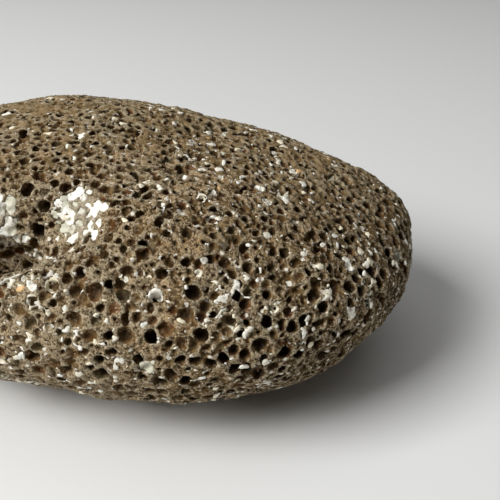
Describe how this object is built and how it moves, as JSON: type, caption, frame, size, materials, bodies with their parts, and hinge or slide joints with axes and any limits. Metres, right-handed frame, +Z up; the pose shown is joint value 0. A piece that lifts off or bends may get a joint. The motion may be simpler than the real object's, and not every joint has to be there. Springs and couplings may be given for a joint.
{
  "type": "lava rock",
  "caption": "Water-worn vesicular basalt cobble: an egg-shaped stone with a hollow in its shoulder, open bubbles all over and a flat to rest on.",
  "frame": {"origin": "centre of the bounding box in plan, on the worn flat that the stone rests on", "axes": "+X along the length towards the narrower nose, +Z up out of the resting flat, -Y the fuller flank below the hollow"},
  "size_m": [0.1352, 0.0894, 0.0577],
  "materials": {
    "basalt": "dry and matt, grey-brown and finely speckled, darker and rustier inside the bubbles",
    "white_mineral": "dry white to cream mineral grown in some of the bubbles, faintly shiny"
  },
  "bodies": {
    "root": {"rock": "basalt"}
  },
  "joints": []
}
